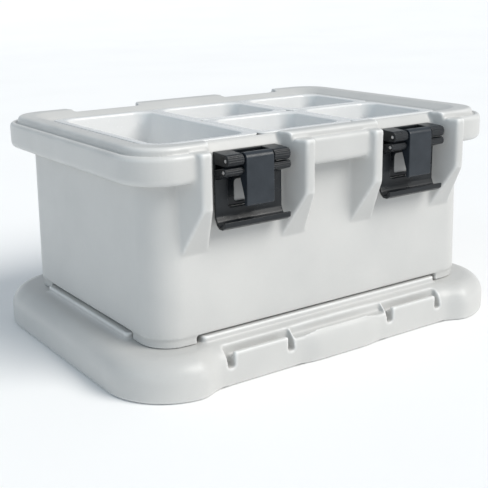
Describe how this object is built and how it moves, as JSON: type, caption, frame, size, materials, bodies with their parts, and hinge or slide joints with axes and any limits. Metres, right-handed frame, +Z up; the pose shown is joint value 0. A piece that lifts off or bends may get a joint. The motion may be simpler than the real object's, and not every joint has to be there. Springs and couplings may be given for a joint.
{
  "type": "insulated food carrier",
  "caption": "Top-loading insulated food pan carrier standing on its own lid, with flip-up draw latches on both long sides, a stepped rim and lift-out divided pans.",
  "frame": {"origin": "centre of the lid's underside, on the surface that the lid stands on", "axes": "+X along the long side, +Y towards the rear, +Z up"},
  "size_m": [0.698, 0.5142, 0.338],
  "materials": {
    "shell_plastic": "satin",
    "foam": "matte",
    "latch_plastic": "satin",
    "pan_plastic": "gloss",
    "stainless": "satin",
    "insert_brass": "satin"
  },
  "bodies": {
    "lid": {"lid_fill_plugs": "shell_plastic", "lid_insulation": "foam", "lid_shell": "shell_plastic"},
    "carrier": {"carrier_fill_plugs": "shell_plastic", "carrier_insulation": "foam", "carrier_shell": "shell_plastic", "latch_front_left_base": "latch_plastic", "latch_front_left_handle_pin": "stainless", "latch_front_left_screws": "stainless", "latch_front_left_inserts": "insert_brass", "latch_front_right_base": "latch_plastic", "latch_front_right_handle_pin": "stainless", "latch_front_right_screws": "stainless", "latch_front_right_inserts": "insert_brass", "latch_rear_left_base": "latch_plastic", "latch_rear_left_handle_pin": "stainless", "latch_rear_left_screws": "stainless", "latch_rear_left_inserts": "insert_brass", "latch_rear_right_base": "latch_plastic", "latch_rear_right_handle_pin": "stainless", "latch_rear_right_screws": "stainless", "latch_rear_right_inserts": "insert_brass"},
    "latch_front_left_handle": {"latch_front_left_handle": "latch_plastic", "latch_front_left_hook_pin": "stainless"},
    "latch_front_left_hook": {"latch_front_left_hook": "latch_plastic"},
    "latch_front_right_handle": {"latch_front_right_handle": "latch_plastic", "latch_front_right_hook_pin": "stainless"},
    "latch_front_right_hook": {"latch_front_right_hook": "latch_plastic"},
    "latch_rear_left_handle": {"latch_rear_left_handle": "latch_plastic", "latch_rear_left_hook_pin": "stainless"},
    "latch_rear_left_hook": {"latch_rear_left_hook": "latch_plastic"},
    "latch_rear_right_handle": {"latch_rear_right_handle": "latch_plastic", "latch_rear_right_hook_pin": "stainless"},
    "latch_rear_right_hook": {"latch_rear_right_hook": "latch_plastic"},
    "pan_third": {"pan_third": "pan_plastic"},
    "pan_sixth_middle_front": {"pan_sixth_middle_front": "pan_plastic"},
    "pan_sixth_middle_rear": {"pan_sixth_middle_rear": "pan_plastic"},
    "pan_sixth_right_front": {"pan_sixth_right_front": "pan_plastic"},
    "pan_sixth_right_rear": {"pan_sixth_right_rear": "pan_plastic"}
  },
  "joints": [
    {"name": "carrier_lift", "type": "slide", "parent": "lid", "child": "carrier", "axis": [0, 0, 1], "range_m": [0, 0.3]},
    {"name": "latch_front_left_handle_swing", "type": "hinge", "parent": "carrier", "child": "latch_front_left_handle", "pos_m": [-0.1475, -0.235, 0.313], "axis": [-1, 0, 0], "range_deg": [0, 160]},
    {"name": "latch_front_left_hook_flip", "type": "hinge", "parent": "latch_front_left_handle", "child": "latch_front_left_hook", "pos_m": [-0.1475, -0.234, 0.298], "axis": [1, 0, 0], "range_deg": [-180, 0]},
    {"name": "latch_front_right_handle_swing", "type": "hinge", "parent": "carrier", "child": "latch_front_right_handle", "pos_m": [0.1475, -0.235, 0.313], "axis": [-1, 0, 0], "range_deg": [0, 160]},
    {"name": "latch_front_right_hook_flip", "type": "hinge", "parent": "latch_front_right_handle", "child": "latch_front_right_hook", "pos_m": [0.1475, -0.234, 0.298], "axis": [1, 0, 0], "range_deg": [-180, 0]},
    {"name": "latch_rear_left_handle_swing", "type": "hinge", "parent": "carrier", "child": "latch_rear_left_handle", "pos_m": [-0.1475, 0.235, 0.313], "axis": [1, 0, 0], "range_deg": [0, 160]},
    {"name": "latch_rear_left_hook_flip", "type": "hinge", "parent": "latch_rear_left_handle", "child": "latch_rear_left_hook", "pos_m": [-0.1475, 0.234, 0.298], "axis": [-1, 0, 0], "range_deg": [-180, 0]},
    {"name": "latch_rear_right_handle_swing", "type": "hinge", "parent": "carrier", "child": "latch_rear_right_handle", "pos_m": [0.1475, 0.235, 0.313], "axis": [1, 0, 0], "range_deg": [0, 160]},
    {"name": "latch_rear_right_hook_flip", "type": "hinge", "parent": "latch_rear_right_handle", "child": "latch_rear_right_hook", "pos_m": [0.1475, 0.234, 0.298], "axis": [-1, 0, 0], "range_deg": [-180, 0]},
    {"name": "pan_third_lift", "type": "slide", "parent": "carrier", "child": "pan_third", "axis": [0, 0, 1], "range_m": [0, 0.15]},
    {"name": "pan_sixth_middle_front_lift", "type": "slide", "parent": "carrier", "child": "pan_sixth_middle_front", "axis": [0, 0, 1], "range_m": [0, 0.15]},
    {"name": "pan_sixth_middle_rear_lift", "type": "slide", "parent": "carrier", "child": "pan_sixth_middle_rear", "axis": [0, 0, 1], "range_m": [0, 0.15]},
    {"name": "pan_sixth_right_front_lift", "type": "slide", "parent": "carrier", "child": "pan_sixth_right_front", "axis": [0, 0, 1], "range_m": [0, 0.15]},
    {"name": "pan_sixth_right_rear_lift", "type": "slide", "parent": "carrier", "child": "pan_sixth_right_rear", "axis": [0, 0, 1], "range_m": [0, 0.15]}
  ]
}
